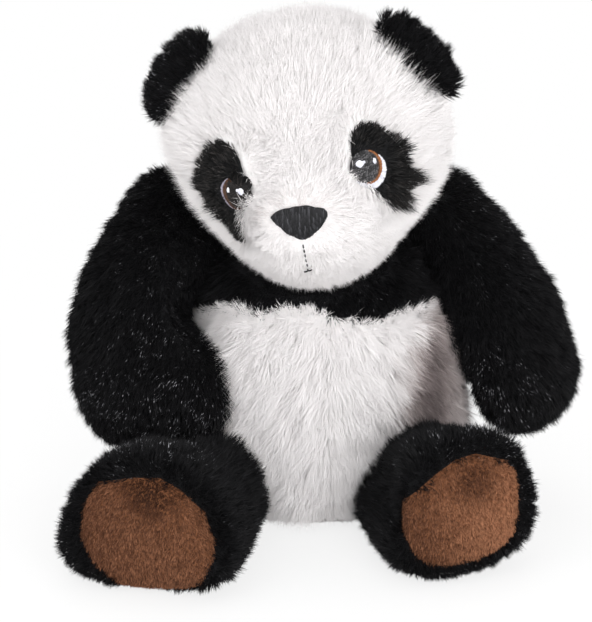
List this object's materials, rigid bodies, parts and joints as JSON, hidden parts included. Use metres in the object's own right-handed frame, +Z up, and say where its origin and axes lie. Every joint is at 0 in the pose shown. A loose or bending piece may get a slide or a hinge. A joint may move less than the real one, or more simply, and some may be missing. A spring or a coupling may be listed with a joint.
{
  "type": "plush panda",
  "caption": "Seated plush panda with a white head and belly, black ears, arms and legs, brown foot soles and embroidered eyes and nose; head, ears, arms and legs move.",
  "frame": {"origin": "middle of the flat seat, on the surface that the toy sits on", "axes": "+Z up; the toy faces -Y; its left arm is on +X"},
  "size_m": [0.2064, 0.1768, 0.2158],
  "materials": {
    "white_plush": "matte",
    "black_plush": "matte",
    "brown_suede": "matte",
    "charcoal_thread": "satin",
    "amber_thread": "satin",
    "white_thread": "satin",
    "seam_cloth": "matte",
    "fibre_fill": "matte"
  },
  "bodies": {
    "body": {"chest_yoke": "black_plush", "belly_panel": "white_plush", "back_panel": "white_plush", "seat_panel": "white_plush", "body_filling": "fibre_fill", "right_arm_seam": "seam_cloth", "left_arm_seam": "seam_cloth", "right_leg_seam": "seam_cloth", "left_leg_seam": "seam_cloth"},
    "neck": {"neck_seam": "seam_cloth"},
    "head": {"head_cover": "white_plush", "head_filling": "fibre_fill", "nose": "charcoal_thread", "mouth_stitches": "charcoal_thread", "right_eye_patch": "black_plush", "right_eye_white": "white_thread", "right_eye_iris": "amber_thread", "right_eye_pupil": "charcoal_thread", "right_eye_highlights": "white_thread", "left_eye_patch": "black_plush", "left_eye_white": "white_thread", "left_eye_iris": "amber_thread", "left_eye_pupil": "charcoal_thread", "left_eye_highlights": "white_thread"},
    "right_ear": {"right_ear_front": "black_plush", "right_ear_back": "black_plush"},
    "right_arm": {"right_arm_cover": "black_plush", "right_arm_filling": "fibre_fill"},
    "right_leg": {"right_leg_cover": "black_plush", "right_leg_sole": "brown_suede", "right_leg_filling": "fibre_fill"},
    "left_ear": {"left_ear_front": "black_plush", "left_ear_back": "black_plush"},
    "left_arm": {"left_arm_cover": "black_plush", "left_arm_filling": "fibre_fill"},
    "left_leg": {"left_leg_cover": "black_plush", "left_leg_sole": "brown_suede", "left_leg_filling": "fibre_fill"}
  },
  "joints": [
    {"name": "head_turn", "type": "hinge", "parent": "body", "child": "neck", "pos_m": [-0.004, -0.026, 0.157], "axis": [0, -0.4067, 0.9135], "range_deg": [-30, 40], "stiffness_Nm_per_rad": 0.03},
    {"name": "head_nod", "type": "hinge", "parent": "neck", "child": "head", "pos_m": [-0.004, -0.026, 0.157], "axis": [-1, 0, 0], "range_deg": [0, 25], "stiffness_Nm_per_rad": 0.05},
    {"name": "right_ear_fold", "type": "hinge", "parent": "head", "child": "right_ear", "pos_m": [-0.05643, -0.04303, 0.18538], "axis": [0.4944, -0.08, 0.8655], "range_deg": [-25, 30], "stiffness_Nm_per_rad": 0.004},
    {"name": "right_arm_swing", "type": "hinge", "parent": "body", "child": "right_arm", "pos_m": [-0.06054, 0.012, 0.117], "axis": [-1, 0, 0], "range_deg": [0, 22]},
    {"name": "right_leg_spread", "type": "hinge", "parent": "body", "child": "right_leg", "pos_m": [-0.042, -0.048, 0.0177], "axis": [0, 0, -1], "range_deg": [-3, 10]},
    {"name": "left_ear_fold", "type": "hinge", "parent": "head", "child": "left_ear", "pos_m": [0.03543, -0.05268, 0.19672], "axis": [0.6937, -0.0449, -0.7189], "range_deg": [-25, 30], "stiffness_Nm_per_rad": 0.004},
    {"name": "left_arm_swing", "type": "hinge", "parent": "body", "child": "left_arm", "pos_m": [0.05254, 0.012, 0.117], "axis": [-1, 0, 0], "range_deg": [0, 55]},
    {"name": "left_leg_spread", "type": "hinge", "parent": "body", "child": "left_leg", "pos_m": [0.033, -0.04, 0.0177], "axis": [0, 0, 1], "range_deg": [-3, 20]}
  ]
}
